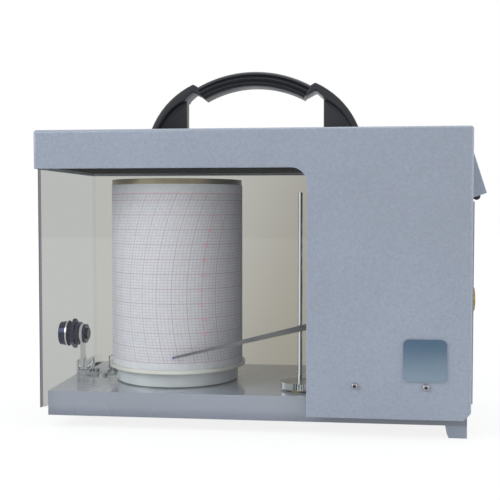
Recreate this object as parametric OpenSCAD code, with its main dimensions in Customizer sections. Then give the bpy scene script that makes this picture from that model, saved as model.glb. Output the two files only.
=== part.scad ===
// Recording thermograph: a clock drum and a bimetal pen under a cover that lifts off.
// Places are measured from the cover's left front edge and from the table, in millimetres.

/* [Case] */
// Width of the cover
case_w = 284; // [276:1:310]
// Depth of the cover
case_d = 132; // [128:1:160]
// Height of the cover's top above the table
case_top = 198; // [192:1:230]
// Height of the lip round the top
lip_h = 25.5; // [20:0.5:28]
// Thickness of the cover's sheet metal
sheet_t = 1.5; // [1:0.1:2]
// Outside radius of the sheet's bends
bend_r = 2.5; // [1:0.5:4]
// Width of the metal side panels
panel_w = 104; // [100:1:108]
// Height of the cover's lower edge above the table
cover_bottom = 12.5; // [11:0.5:14]
// Radius of the corner between lip and panel
panel_r = 10; // [4:1:14]
// Size of the chamfer on the panels' lower right corner
panel_chamfer = 5; // [3:0.5:7]

/* [Panes] */
// Thickness of the clear panes
pane_t = 3; // [2:0.5:3.5]
// Thickness of the sealing strip between lip and pane
seal_t = 1; // [0.5:0.1:1.5]
// Height of the panes' lower edge above the table
pane_bottom = 13.8; // [12:0.2:16]
// How far the panes reach behind the metal panels
pane_tuck = 9; // [6:1:12]
// How far the panes reach up behind the lip
pane_rise = 18; // [10:1:18]

/* [Base] */
// Gap between the panes and the base tray
base_gap = 1.1; // [0.8:0.1:1.6]
// Height of the base plate's top above the table
plate_z = 24.4; // [23.6:0.2:28]
// Thickness of the base tray's sheet metal
tray_t = 1.5; // [1:0.1:2]
// Height of the feet below the tray
foot_h = 8; // [6:0.5:8.5]
// Width of the feet
foot_d = 13; // [12:0.5:16]

/* [Drum] */
// Drum axis from the cover's left edge
drum_x = 83.5; // [81:0.5:86]
// Outside diameter of the metal drum
drum_d = 92.6; // [89:0.1:93.4]
// Height of the drum's rim above the base plate
drum_h = 142.3; // [125:0.1:144]
// Wall of the metal drum
drum_wall = 1.2; // [0.8:0.1:1.6]
// Thickness of the chart paper
paper_t = 0.4; // [0.2:0.05:0.5]
// Bare metal above the chart paper
chart_margin = 3.7; // [2:0.1:6]
// Diameter of the flange that the paper stands on
flange_d = 97.4; // [96:0.1:99]
// Height of the flange's top above the base plate
flange_rise = 12.7; // [12:0.1:14]
// Thickness of the flange's edge
flange_t = 2.2; // [1.8:0.1:3]
// Diameter of the clock housing under the drum
clock_d = 86.8; // [84:0.1:88]
// Diameter of the drum spindle
spindle_d = 6; // [5:0.5:8]
// Module of the drive's gears
gear_module = 0.8; // [0.7:0.05:0.85]
// Teeth on the drum gear
gear_teeth = 60; // [54:6:60]
// Teeth on the motor pinion
pinion_teeth = 12; // [10:1:12]

/* [Pen] */
// Pen axle from the cover's right side
pen_in = 22; // [20:0.5:26]
// Height of the pen axle above the base plate
pen_rise = 61.6; // [56:0.2:70]
// Diameter of the pen axle
axle_d = 4; // [3:0.5:5]
// Pen axle's yoke in front of the drum's axis
yoke_front = 24; // [22:0.5:26]
// Pen tip to the right of the drum's axis
tip_side = 7.5; // [5:0.5:9]
// Height of the pen tip above the drum's flange
tip_rise = 9.4; // [8:0.2:20]
// Depth of the pen arm at its root
arm_root = 6; // [4:0.5:8]
// Depth of the pen arm at its tip
arm_tip = 1.4; // [1:0.1:2]
// Thickness of the pen arm
arm_t = 0.8; // [0.5:0.1:1.2]
// Mean radius of the bimetal coil
coil_r = 8; // [7:0.5:9]
// Turns of the bimetal coil
coil_turns = 5; // [3:1:5]
// Width of the bimetal strip
strip_w = 4.5; // [3:0.5:4.8]
// Thickness of the bimetal strip
strip_t = 0.8; // [0.5:0.1:1]

/* [Pen lifter] */
// Lifter's axis to the left of the metal panel
lifter_side = 6; // [4:0.5:8]
// Lifter's axis in front of the drum's axis
lifter_front = 37; // [36:0.5:40]
// Diameter of the lifter's knob
lifter_knob_d = 25; // [20:0.5:26]
// Height of the lifter's knob
lifter_knob_h = 4.5; // [4:0.5:6]
// Diameter of the lifter's rod
lifter_rod_d = 3; // [2:0.5:4]
// Distance of the rod from the lifter's axis
lifter_throw = 5; // [4:0.5:5.5]
// Height of the rod's top above the base plate
lifter_h = 132.6; // [125:0.2:142]

/* [Lock] */
// Height of the lock's axis above the base plate
lock_rise = 30.6; // [29:0.2:33]
// Diameter of the lock's barrel
lock_d = 16.8; // [15:0.1:18]
// How far the lock's bezel stands out from the pane
bezel_out = 6; // [3:0.5:7]
// Diameter of the turning plug
plug_d = 10; // [8:0.5:11]
// Distance of the cam's pin from the lock's axis
cam_reach = 26; // [25:0.5:26.5]
// Turn of the lock from open to locked
lock_turn = 30; // [20:1:32]

/* [Handle] */
// Width of the handle at its feet
handle_w = 149; // [142:1:160]
// Clear width between the handle's feet
handle_gap = 97; // [90:1:104]
// Height of the handle above the cover
handle_h = 44; // [42:1:52]
// Thickness of the handle's grip
grip_t = 10; // [9:0.5:12]
// Depth of the handle from front to back
handle_d = 24; // [18:1:30]

/* [Side vent] */
// How far the hood stands out from the side
hood_out = 11.5; // [9:0.5:14]
// Height of the hood
hood_h = 39.5; // [35:0.5:43]
// Distance of the hood below the cover's top
hood_drop = 6; // [4:1:10]
// How far the vent guard stands out from the side
guard_out = 3.6; // [3:0.2:6]
// Diameter of the guard's thumb screws
thumb_d = 16; // [12:0.5:18]

/* [Fits] */
// Clearance round screws and pressed pieces
seat_gap = 0.05; // [0.02:0.01:0.1]
// Radial clearance of turning fits
run_gap = 0.04; // [0.02:0.01:0.08]
// Gap between faces that pass each other
pass_gap = 0.4; // [0.3:0.1:0.6]

/* [Hidden] */
$fn = 64;
fine = 128;
cut = 1;
knurl_depth = 0.5;

// Cover, panes and tray
lip_z = case_top - lip_h;
case_mid = case_d / 2;
panel_x = case_w - panel_w;
pane_in = sheet_t + seal_t;
pane_end = pane_in + pane_t;
pane_top = lip_z + pane_rise;
tray_in = pane_end + base_gap;
tray_right = case_w - sheet_t - 0.4;
tray_bottom = foot_h;
plate_under = plate_z - tray_t;

// The whole width, from the lock's bezel to the hood, sets the middle of the frame
x_left = pane_in - bezel_out;
x_right = case_w + hood_out;
x_mid = (x_left + x_right) / 2;

// Feet: two at the right, one in the middle at the left
foot_inset = tray_in + foot_d / 2;
foot_x = tray_right - foot_d / 2;
foot_spots = [[foot_x, foot_inset], [foot_x, case_d - foot_inset], [tray_in + 21, case_mid]];
foot_taper = 1.5;
foot_stem_d = foot_d - 2 * tray_t - 1.5;
foot_screw_d = 4;
foot_head_d = 7;

// Drum, clock and drive
drum_y = case_mid;
drum_r = drum_d / 2;
drum_in_r = drum_r - drum_wall - seat_gap;
drum_top = plate_z + drum_h;
paper_r = drum_r + paper_t;
paper_top = drum_top - chart_margin;
flange_z = plate_z + flange_rise;
flange_under = flange_z - flange_t;
clock_h = flange_under - pass_gap - plate_z;
clock_wall = 2;
floor_rise = 4.5;
gear_room_r = clock_d / 2 - 4;
floor_z = flange_z + floor_rise;
floor_t = 3;
upstand_h = 4;
upstand_t = 2.6;
gear_h = 3;
gear_z = floor_z - gear_h - 0.5;
gear_r = gear_module * gear_teeth / 2;
pinion_r = gear_module * pinion_teeth / 2;
mesh_slack = 0.1;
drive_x = drum_x + gear_r + pinion_r + mesh_slack;
motor_shaft_d = 2;
shaft_room = 2;
bush_d = spindle_d + 5;
bush_drop = 4;
bush_l = 24;
cap_t = 2.5;
cap_z = drum_top - 8;
cap_bush_l = 9;
cap_bush_up = 1;
drum_nut_d = 14;
drum_nut_h = 5;
spindle_nut_d = spindle_d * 1.9;
spindle_nut_h = 5;
clip_w = 5;
clip_t = 0.1;
clip_angle = 125;
slit_gap = 0.4;
motor_size = [44, 36, 13];
motor_at = [drum_x + spindle_nut_d / 2 + 1.2, drum_y - motor_size[1] / 2, plate_under - motor_size[2]];
cell_d = 14;
cell_l = 50;
cell_wall = 2;
cell_at = [motor_at[0], motor_at[1] + motor_size[1] + 2 * cell_wall, plate_under - cell_d];

// Lock and keeper
lock_y = case_mid;
lock_z = plate_z + lock_rise;
bezel_d = lock_d + 1.8;
lock_nut_t = 2.6;
lock_nut_af = lock_d + 1.9;
lock_end = pane_end + lock_nut_t + 3.1;
cam_x = lock_end + pass_gap;
cam_t = 2;
cam_w = 8;
cam_bolt_d = 4;
cam_disc_d = lock_d - 3;
cam_pin_d = 2.4;
cam_tail = 1.6;
cheek_gap = 1.6;
cheek_t = 1.2;
cheek_xs = [cam_x - cheek_gap - cheek_t, cam_x + cam_t + cheek_gap];
cheek_y0 = lock_y - 4;
cheek_y1 = lock_y + 17;
slot_w = cam_pin_d + 1.6;
roof_h = 3.4;
keeper_top = lock_z - cam_reach * cos(lock_turn) + roof_h;
keeper_x = cheek_xs[1] + cheek_t;
keeper_tab = 6;
keeper_spot = [keeper_x + keeper_tab / 2, lock_y + 10];
small_screw_d = 2.5;

// Drum stop: a bent wire on a flat eye beside the flange
stop_left = 53.5;
stop_back = 18.6;
stop_at = [drum_x - stop_left, drum_y + stop_back];
stop_to = [drum_x, drum_y] - stop_at;
stop_wire = 1.2;
stop_r = 3.4;
stop_bend = 2;
stop_eye_d = 9.2;
stop_h = flange_rise - flange_t / 2;
stop_gap = 1;
stop_screw_d = 3;

// Pen: the axle lies front to back, the arm swings up and down in front of the drum
pen_x = case_w - pen_in;
pen_z = plate_z + pen_rise;
tip_x = drum_x + tip_side;
tip_z = flange_z + tip_rise;
tip_gap = 0.35;
tip_len = 1.8;
nib_d = 1.6;
nib_over = 0.6;
nib_body = 1.8;
arm_end_y = drum_y - paper_r - tip_gap - tip_len;
yoke_y = drum_y - yoke_front;
yoke_w = 8;
yoke_d = axle_d + 6;
gate_at = 10;
gate_pin_d = 2;
gate_end = 0.6;
arm_drop = atan2(pen_z - tip_z, pen_x - tip_x);
arm_run = norm([pen_x - tip_x, pen_z - tip_z]) - gate_at;
arm_side = yoke_y - arm_end_y;
arm_slant = atan2(arm_side, arm_run);
arm_len = norm([arm_run, arm_side]);
hub_d = 5;
hub_h = 5.6;
hub_play = 0.15;
neck = 12;
ear_t = 2;
ear_w = 6;
ear_gap = hub_h + 2 * hub_play;
weight_d = 9;
weight_l = 7;
weight_at = 8;

// Mechanism frame
frame_t = 2;
frame_y0 = yoke_y + yoke_w / 2 + 3.5;
frame_x0 = pen_x - 24;
frame_x1 = pen_x + 12;
frame_top = pen_z + 14;
frame_foot = 12;
frame_y1 = case_d - foot_inset - foot_head_d / 2 - frame_foot - frame_t - 5.4;
foot_ys = [frame_y0 - frame_foot / 2, frame_y1 + frame_t + frame_foot / 2];
foot_xs = [frame_x0 + 8, frame_x1 - 8];
pillar_d = 7;
pillar_l = frame_y1 - frame_y0 - frame_t;
pillar_spots = [[frame_x0 + 6, frame_top - 6], [frame_x0 + 6, plate_z + 14], [frame_x1 - 6, plate_z + 14]];
frame_screw_d = 3;
frame_screw_l = 7;
frame_head_d = 5.5;
axle_bush_d = axle_d + 4;
bush_over = 1.5;
collet_d = axle_d + 6;
collet_l = 5;
collet_y = frame_y0 + frame_t + bush_over + 0.5;
zero_y = frame_y1 - 3 - pass_gap;
zero_flange_t = 3;
zero_d = 2 * coil_r + 2;
zero_knob_l = 8;
axle_end = frame_y1 + frame_t + 4;

// Bimetal coil
coil_rings = 16;
coil_y = collet_y + collet_l;
coil_pitch = (zero_y - coil_y - strip_w) / coil_turns;
coil_n = coil_turns * coil_rings;

// Pen lifter
lifter_x = panel_x - lifter_side;
lifter_y = drum_y - lifter_front;
lifter_shaft_d = 6;
lifter_bush_d = 10;
lifter_bush_l = 9;
lifter_flange_t = 1.2;
lifter_seat = plate_z + lifter_flange_t;
lifter_play = 0.2;
rod_seat = 3;

// Ledges, screws and badge on the cover
ledge_x0 = panel_x + pane_tuck + 8;
ledge_x1 = foot_x - foot_head_d;
ledge_t = 1.5;
ledge_h = 16;
ledge_reach = 13;
panel_screw_xs = [ledge_x0 + 13.8, ledge_x1 - 13];
panel_screw_z = plate_z + 9;
panel_screw_d = 3;
panel_head_d = 4.2;
head_h = 1.8;
badge_w = 27;
badge_t = 0.8;
badge_r = 3.5;
badge_x = case_w - 42.7;
badge_z = plate_z + 12.4;

// Handle
handle_x = case_w / 2 - 2;
handle_half = handle_w / 2;
handle_foot = (handle_w - handle_gap) / 2;
leg_peak = [handle_gap / 2 - 5.7, handle_h * 0.81];
leg_corner = [handle_half - 8.4, handle_h * 0.56];
leg_notch = [handle_gap / 2 - 5.3, handle_h - grip_t - 3.6];
grip_low = [handle_gap / 2 - 13.5, handle_h - grip_t - 8];
band_t = 4.2;
web_t = 10;
handle_screw_d = 5;
handle_head_d = 9;
handle_screw_l = 11;
handle_screw_xs = [for (s = [-1, 1]) handle_x + s * (handle_w - handle_foot) / 2];
grip_step = 1.8;

// Side vent
hood_y0 = 25;
hood_top = case_top - hood_drop;
hood_low = hood_top - hood_h;
hood_tip_z = hood_low + 4;
hood_t = 1.2;
buffer_d = 5;
buffer_out = 5.4;
guard_y0 = 24;
guard_z0 = cover_bottom + panel_chamfer + 1;
guard_z1 = hood_low - 1.5;
guard_t = 1.2;
vent_y0 = 50;
thumb_y = 40;
thumb_h = 2.2;
thumb_screw_d = 4;
thumb_nut_t = 3;
slot_h = 5;
slot_step = 11;

// Puts a piece into the part's own frame
module placed() translate([-x_mid, -case_mid, 0]) children();

// Box between two corners
module block(a, b) translate(a) cube(b - a);

// Turn a piece made along +Z so that it points along +X or +Y
module along_x() rotate([0, 90, 0]) children();
module along_y() rotate([-90, 0, 0]) children();

// Side view in X and Z, drawn out along +Y
module drawn_back(depth) rotate([90, 0, 0]) translate([0, 0, -depth]) linear_extrude(depth) children();

// Hole for a screw or a pressed piece, running past both faces of a wall
module hole(d, h) translate([0, 0, -cut]) cylinder(d = d + 2 * seat_gap, h = h + 2 * cut);

// Bore for a turning piece
module bore(d, h) translate([0, 0, -cut]) cylinder(d = d + 2 * run_gap, h = h + 2 * cut);

// Flat ring
module ring(d_out, d_in, h)
    difference() {
        cylinder(d = d_out, h = h);
        translate([0, 0, -cut]) cylinder(d = d_in, h = h + 2 * cut);
    }

// Rectangle with round corners, from its lower left corner
module rounded(w, h, r) {
    translate([r, 0]) square([w - 2 * r, h]);
    translate([0, r]) square([w, h - 2 * r]);
    for (x = [r, w - r], y = [r, h - r]) translate([x, y]) circle(r);
}

// Points on an arc
function spoke(a) = [cos(a), sin(a)];
function arc(c, r, a0, a1, n) = [for (i = [0:n]) c + r * spoke(a0 + (a1 - a0) * i / n)];

// Slotted screw with its head up and its shank down
module screw(d, head_d, len)
    difference() {
        union() {
            cylinder(d = head_d, h = head_h);
            translate([0, 0, -len]) cylinder(d = d, h = len + head_h / 2);
        }
        translate([-head_d, -d / 8, head_h * 0.55]) cube([2 * head_d, d / 4, head_h]);
    }

// Disc with a fine knurled edge
module knurled(d, h, teeth)
    linear_extrude(h) polygon([for (i = [0:2 * teeth - 1])
        (d / 2 - (i % 2) * knurl_depth) * spoke(180 * i / teeth)]);

// Spur gear outline, with slim teeth that leave backlash
module gear_outline(teeth) {
    pitch = 360 / teeth;
    r = gear_module * teeth / 2;
    tip = r + 0.75 * gear_module;
    root = r - 1.15 * gear_module;
    tooth = [[root, -0.27], [r, -0.19], [tip, -0.08], [tip, 0.08], [r, 0.19], [root, 0.27]];
    polygon([for (i = [0:teeth - 1], p = tooth) p[0] * spoke((i + p[1]) * pitch)]);
}

// Folded tray, with holes for what is fixed to its plate
module base_tray() color("lightsteelblue") placed() difference() {
    block([tray_in, tray_in, tray_bottom], [tray_right, case_d - tray_in, plate_z]);
    block([tray_in + tray_t, tray_in + tray_t, tray_bottom - cut],
        [tray_right - tray_t, case_d - tray_in - tray_t, plate_under]);
    translate([0, 0, plate_under]) {
        for (p = foot_spots) translate(p) hole(foot_screw_d, tray_t);
        translate(keeper_spot) hole(small_screw_d, tray_t);
        for (x = foot_xs, y = foot_ys) translate([x, y]) hole(frame_screw_d, tray_t);
        translate(stop_at) hole(stop_screw_d, tray_t);
        translate([drum_x, drum_y]) hole(spindle_d, tray_t);
        translate([drive_x, drum_y]) hole(motor_shaft_d + shaft_room, tray_t);
        translate([lifter_x, lifter_y]) hole(lifter_bush_d, tray_t);
    }
}

// Foot with one sloping side, and a stem that reaches up to the plate
module foot(spot, turn) color("slategray") placed() translate(spot) rotate(turn) difference() {
    union() {
        translate([0, -foot_d / 2, 0]) drawn_back(foot_d) polygon([[foot_d / 2, 0],
            [foot_d / 2, tray_bottom - seat_gap], [-foot_d / 2, tray_bottom - seat_gap],
            [foot_taper - foot_d / 2, 0]]);
        cylinder(d = foot_stem_d, h = plate_under);
    }
    translate([0, 0, tray_bottom + cut]) hole(foot_screw_d, plate_under);
}

module foot_screws() color("silver") placed() for (p = foot_spots)
    translate([p[0], p[1], plate_z]) screw(foot_screw_d, foot_head_d, plate_z - tray_bottom - 2);

// Fixed cream cup under the drum, open inside for the drive
module clock_housing() color("ivory") placed() translate([drum_x, drum_y, plate_z]) difference() {
    cylinder(d = clock_d, h = clock_h, $fn = fine);
    translate([0, 0, -cut])
        cylinder(d = clock_d - 2 * clock_wall, h = clock_h - clock_wall + cut, $fn = fine);
    hole(bush_d + 4, clock_h);
    translate([drive_x - drum_x, 0, 0]) hole(motor_shaft_d + shaft_room, clock_h);
}

module clock_motor() color("dimgray") placed() difference() {
    translate(motor_at) cube(motor_size);
    translate([drive_x, drum_y, motor_at[2] + 2 + cut]) bore(motor_shaft_d, motor_size[2]);
}

module battery() color("darkorange") placed()
    translate(cell_at + [0, cell_d / 2, cell_d / 2]) along_x() {
        cylinder(d = cell_d, h = cell_l);
        cylinder(d = 5.5, h = cell_l + 1.2);
    }

// Open box under the plate that holds the cell
module battery_clip() color("black") placed() translate(cell_at) difference() {
    block([-2 - cell_wall, -cell_wall, 4], [cell_l + 2 + cell_wall, cell_d + cell_wall, cell_d]);
    block([-2, -seat_gap, 4 - cut], [cell_l + 2, cell_d + seat_gap, cell_d + cut]);
}

module motor_pinion() color("goldenrod") placed() translate([drive_x, drum_y, 0]) {
    translate([0, 0, motor_at[2] + 3]) cylinder(d = motor_shaft_d, h = floor_z - motor_at[2] - 4);
    translate([0, 0, gear_z]) rotate(180 + 180 / pinion_teeth)
        linear_extrude(gear_h) gear_outline(pinion_teeth);
}

// Fixed post with a shoulder under the drum's lower bush
module drum_spindle() color("silver") placed() translate([drum_x, drum_y, 0]) {
    translate([0, 0, plate_under - spindle_nut_h - 2])
        cylinder(d = spindle_d, h = drum_top - plate_under + spindle_nut_h);
    translate([0, 0, plate_z]) cylinder(d = bush_d + 2, h = floor_z - bush_drop - pass_gap - plate_z);
}

module spindle_nut() color("silver") placed() translate([drum_x, drum_y, plate_under - spindle_nut_h])
    difference() {
        cylinder(d = spindle_nut_d, h = spindle_nut_h, $fn = 6);
        hole(spindle_d, spindle_nut_h);
    }

module drum_nut() color("goldenrod") placed() translate([drum_x, drum_y, cap_z + cap_bush_up + pass_gap])
    difference() {
        knurled(drum_nut_d, drum_nut_h, 30);
        hole(spindle_d, drum_nut_h);
    }

// Cream flange with an upstand inside the drum and a floor round the lower bush
module drum_flange() color("ivory") placed() translate([drum_x, drum_y, 0])
    rotate_extrude($fn = fine) polygon([
        [bush_d / 2 + seat_gap, floor_z], [gear_room_r, floor_z], [gear_room_r, flange_under],
        [flange_d / 2, flange_under], [flange_d / 2, flange_z], [drum_in_r, flange_z],
        [drum_in_r, floor_z + floor_t + upstand_h], [drum_in_r - upstand_t, floor_z + floor_t + upstand_h],
        [drum_in_r - upstand_t, floor_z + floor_t], [bush_d / 2 + seat_gap, floor_z + floor_t]]);

module drum_gear() color("goldenrod") placed() translate([drum_x, drum_y, gear_z]) difference() {
    union() {
        linear_extrude(gear_h) gear_outline(gear_teeth);
        cylinder(r = gear_r - 5, h = floor_z - gear_z);
    }
    hole(bush_d, floor_z - gear_z);
}

module drum_shell() color("darkkhaki") placed() translate([drum_x, drum_y, flange_z])
    ring(drum_d, drum_d - 2 * drum_wall, drum_top - flange_z, $fn = fine);

module drum_cap() color("gainsboro") placed() translate([drum_x, drum_y, cap_z - cap_t])
    ring(2 * drum_in_r, bush_d + 2 * seat_gap, cap_t, $fn = fine);

// Two brass bushes in the drum, a long one below and a short one above
module drum_bushes() color("goldenrod") placed() translate([drum_x, drum_y, 0]) {
    translate([0, 0, floor_z - bush_drop]) ring(bush_d, spindle_d + 2 * run_gap, bush_l);
    translate([0, 0, cap_z + cap_bush_up - cap_bush_l]) ring(bush_d, spindle_d + 2 * run_gap, cap_bush_l);
}

// Radial strip where the paper's ends meet
module slit(w) rotate(clip_angle) translate([0, -w / 2]) square([flange_d, w]);

// Paper tube, open along the slit
module chart_paper() color("white") placed() translate([drum_x, drum_y, flange_z])
    linear_extrude(paper_top - flange_z) difference() {
        circle(paper_r, $fn = fine);
        circle(drum_r + seat_gap, $fn = fine);
        slit(clip_w + slit_gap);
    }

// Spring bar that lies in the slit and holds the paper's ends
module chart_clip() color("silver") placed() translate([drum_x, drum_y, flange_z])
    linear_extrude(drum_top - flange_z) intersection() {
        difference() {
            circle(paper_r + clip_t, $fn = fine);
            circle(drum_r + seat_gap, $fn = fine);
        }
        slit(clip_w);
    }

// Path of the cam's pin in a cheek: down a slot, then round under a roof
module pin_slot() {
    translate([0, -slot_w / 2, -cam_reach]) cube([cheek_t + 2 * cut, slot_w, cam_reach]);
    along_x() intersection() {
        ring(2 * cam_reach + slot_w, 2 * cam_reach - slot_w, cheek_t + 2 * cut);
        linear_extrude(cheek_t + 2 * cut)
            polygon([2 * cam_reach * spoke(-5), [0, 0], 2 * cam_reach * spoke(lock_turn + 5)]);
    }
}

// Bracket with two cheeks; the cam's pin drops in from above and turns under the roof
module keeper() color("gainsboro") placed() {
    difference() {
        union() {
            block([cheek_xs[0], cheek_y0, plate_z], [keeper_x, cheek_y1, plate_z + cheek_t]);
            block([keeper_x - cheek_t, keeper_spot[1] - keeper_tab / 2, plate_z],
                [keeper_x + keeper_tab, keeper_spot[1] + keeper_tab / 2, plate_z + cheek_t]);
        }
        translate([keeper_spot[0], keeper_spot[1], plate_z]) hole(small_screw_d, cheek_t);
    }
    for (x = cheek_xs) difference() {
        block([x, cheek_y0, plate_z], [x + cheek_t, cheek_y1, keeper_top]);
        translate([x - cut, lock_y, lock_z]) pin_slot();
    }
}

module plate_screws() color("silver") placed() {
    translate([keeper_spot[0], keeper_spot[1], plate_z + cheek_t]) screw(small_screw_d, 5, 6);
    translate([stop_at[0], stop_at[1], plate_z + stop_wire + 0.1]) screw(stop_screw_d, 5, 6);
}

// Wire that stands up from its eye and bends over to the drum's flange
module drum_stop() color("dimgray") placed() translate([stop_at[0], stop_at[1], plate_z]) {
    reach = norm(stop_to) - flange_d / 2 - stop_gap;
    rise = stop_h - stop_bend;
    ring(stop_eye_d, stop_screw_d + 2 * run_gap, stop_wire);
    rotate(atan2(stop_to[1], stop_to[0])) {
        translate([-stop_r, 0, stop_wire / 2]) cylinder(d = stop_wire, h = rise - stop_wire / 2);
        translate([stop_bend - stop_r, 0, rise]) rotate([90, 0, 0]) rotate(90) rotate_extrude(angle = 90)
            translate([stop_bend, 0]) circle(d = stop_wire);
        translate([stop_bend - stop_r, 0, stop_h]) along_x()
            cylinder(d = stop_wire, h = reach + stop_r - stop_bend);
    }
}

// Upright plate with a bent foot, square to the pen axle
module frame_plate(y, foot_y0, foot_y, bore_d) color("gainsboro") placed() difference() {
    union() {
        block([frame_x0, y, plate_z], [frame_x1, y + frame_t, frame_top]);
        block([frame_x0, foot_y0, plate_z], [frame_x1, foot_y0 + frame_t + frame_foot, plate_z + frame_t]);
    }
    translate([pen_x, y - cut, pen_z]) along_y() cylinder(d = bore_d, h = frame_t + 2 * cut);
    for (p = pillar_spots) translate([p[0], y, p[1]]) along_y() hole(frame_screw_d, frame_t);
    for (x = foot_xs) translate([x, foot_y, plate_z]) hole(frame_screw_d, frame_t);
}

module frame_front() frame_plate(frame_y0, frame_y0 - frame_foot, foot_ys[0], axle_bush_d + 2 * seat_gap);

module frame_rear() frame_plate(frame_y1, frame_y1, foot_ys[1], axle_bush_d + 2 * run_gap);

module frame_pillars() color("silver") placed() for (p = pillar_spots)
    translate([p[0], frame_y0 + frame_t, p[1]]) along_y() difference() {
        cylinder(d = pillar_d, h = pillar_l);
        for (z = [-cut, pillar_l - frame_screw_l])
            translate([0, 0, z + cut]) hole(frame_screw_d, frame_screw_l - cut);
    }

module frame_screws() color("silver") placed() {
    for (p = pillar_spots) {
        translate([p[0], frame_y0, p[1]]) rotate([90, 0, 0])
            screw(frame_screw_d, frame_head_d, frame_screw_l);
        translate([p[0], frame_y1 + frame_t, p[1]]) along_y()
            screw(frame_screw_d, frame_head_d, frame_screw_l);
    }
    for (x = foot_xs, y = foot_ys)
        translate([x, y, plate_z + frame_t]) screw(frame_screw_d, frame_head_d, frame_screw_l);
}

module axle_bush() color("goldenrod") placed() translate([pen_x, frame_y0 - bush_over, pen_z]) along_y()
    ring(axle_bush_d, axle_d + 2 * run_gap, frame_t + 2 * bush_over);

module pen_axle() color("silver") placed() translate([pen_x, yoke_y - yoke_w / 2, pen_z]) along_y()
    cylinder(d = axle_d, h = axle_end - yoke_y + yoke_w / 2);

// Frame of the pen arm's root: -X runs along the arm, Z lies along the gate pin
module arm_root_frame() translate([pen_x, yoke_y, pen_z]) rotate([0, -arm_drop, 0]) children();

// Clamp on the axle, with two ears round the arm's hub and a stub for the weight
module pen_yoke() color("goldenrod") placed() arm_root_frame() difference() {
    union() {
        translate([0, -yoke_w / 2, 0]) along_y() cylinder(d = yoke_d, h = yoke_w);
        for (z = [ear_gap / 2, -ear_gap / 2 - ear_t]) translate([-gate_at, 0, z]) {
            translate([0, -ear_w / 2, 0]) cube([gate_at, ear_w, ear_t]);
            cylinder(d = ear_w, h = ear_t);
        }
        along_x() cylinder(d = 4, h = weight_at);
    }
    translate([0, -yoke_w / 2, 0]) along_y() hole(axle_d, yoke_w);
    translate([-gate_at, 0, -ear_gap]) hole(gate_pin_d, 2 * ear_gap);
}

module balance_weight() color("goldenrod") placed() arm_root_frame()
    translate([weight_at, 0, 0]) along_x() cylinder(d = weight_d, h = weight_l);

module gate_pin() color("silver") placed() arm_root_frame()
    translate([-gate_at, 0, -ear_gap / 2 - ear_t - gate_end])
        cylinder(d = gate_pin_d, h = ear_gap + 2 * ear_t + 2 * gate_end);

// Frame of the pen arm: the gate pin at its origin, -X to the tip
module arm_frame() arm_root_frame() translate([-gate_at, 0, 0]) rotate([0, 0, arm_slant]) children();

// Tapered blade on a small hub
module pen_arm() color("slategray") placed() arm_frame() difference() {
    union() {
        translate([0, 0, -hub_h / 2]) cylinder(d = hub_d, h = hub_h);
        translate([0, arm_t / 2, 0]) rotate([90, 0, 0]) linear_extrude(arm_t) polygon([
            [0, -hub_d / 2], [0, hub_d / 2], [-neck, arm_root / 2], [-arm_len, arm_tip / 2],
            [-arm_len, -arm_tip / 2], [-neck, -arm_root / 2]]);
    }
    translate([0, 0, -hub_h / 2]) bore(gate_pin_d, hub_h);
}

// Writing point clipped to the arm's end, just short of the paper
module pen_nib() color("darkslateblue") placed() arm_frame()
    translate([-arm_len - nib_d / 2 - seat_gap, -nib_body + nib_over, 0]) along_y() {
        cylinder(d = nib_d, h = nib_body);
        translate([0, 0, nib_body]) cylinder(d1 = nib_d, d2 = 0.4, h = tip_len - nib_over);
    }

// Collar on the axle with a lug for the coil's near end
module coil_collet() color("goldenrod") placed() translate([pen_x, collet_y, pen_z]) along_y() difference() {
    union() {
        cylinder(d = collet_d, h = collet_l);
        translate([0, -1.5, collet_l - 1.5]) cube([coil_r + 1, 3, 1.5]);
    }
    hole(axle_d, collet_l);
}

// Bimetal strip wound round the axle, from the collet to the zero knob
function coil_out(i) = [cos(360 * i / coil_rings), 0, -sin(360 * i / coil_rings)];
function coil_point(i) = coil_r * coil_out(i) + [0, strip_w / 2 + coil_pitch * i / coil_rings, 0];
function turn_gap(i) = norm(coil_point(i + coil_rings) - coil_point(i)) - strip_w;
echo(least_gap_of_bimetal_coil = min([for (i = [0:coil_n - coil_rings]) turn_gap(i)]));
module bimetal_coil() color("peru") placed() translate([pen_x, coil_y, pen_z]) {
    last = 4 * coil_n;
    corners = [for (i = [0:coil_n], k = [[-1, -1], [1, -1], [1, 1], [-1, 1]])
        coil_point(i) + k[0] * strip_t / 2 * coil_out(i) + [0, k[1] * strip_w / 2, 0]];
    walls = [for (i = [0:coil_n - 1], k = [0:3])
        let (a = 4 * i + k, b = 4 * i + (k + 1) % 4)
        each [[a, b, a + 4], [b, b + 4, a + 4]]];
    ends = [[0, 2, 1], [0, 3, 2], [last, last + 1, last + 2], [last, last + 2, last + 3]];
    polyhedron(corners, concat(walls, ends));
}

// Sleeve in the rear plate that holds the coil's far end; its knob sets the zero
module zero_knob() color("goldenrod") placed() translate([pen_x, zero_y, pen_z]) along_y() difference() {
    union() {
        cylinder(d = zero_d, h = zero_flange_t);
        cylinder(d = axle_bush_d, h = frame_y1 + frame_t + 1 - zero_y);
        translate([0, 0, frame_y1 + frame_t + pass_gap - zero_y]) knurled(zero_d, zero_knob_l, 36);
    }
    bore(axle_d, axle_end - zero_y);
}

// Flanged bush pressed into the base plate
module lifter_bush() color("goldenrod") placed() translate([lifter_x, lifter_y, lifter_seat]) difference() {
    union() {
        translate([0, 0, -lifter_bush_l]) cylinder(d = lifter_bush_d, h = lifter_bush_l);
        translate([0, 0, -lifter_flange_t]) cylinder(d = lifter_bush_d + 4, h = lifter_flange_t);
    }
    translate([0, 0, -lifter_bush_l]) bore(lifter_shaft_d, lifter_bush_l);
}

// Frame of the turning lifter, at the underside of its knob
module lifter_frame() translate([lifter_x, lifter_y, lifter_seat + lifter_play]) children();

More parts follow.
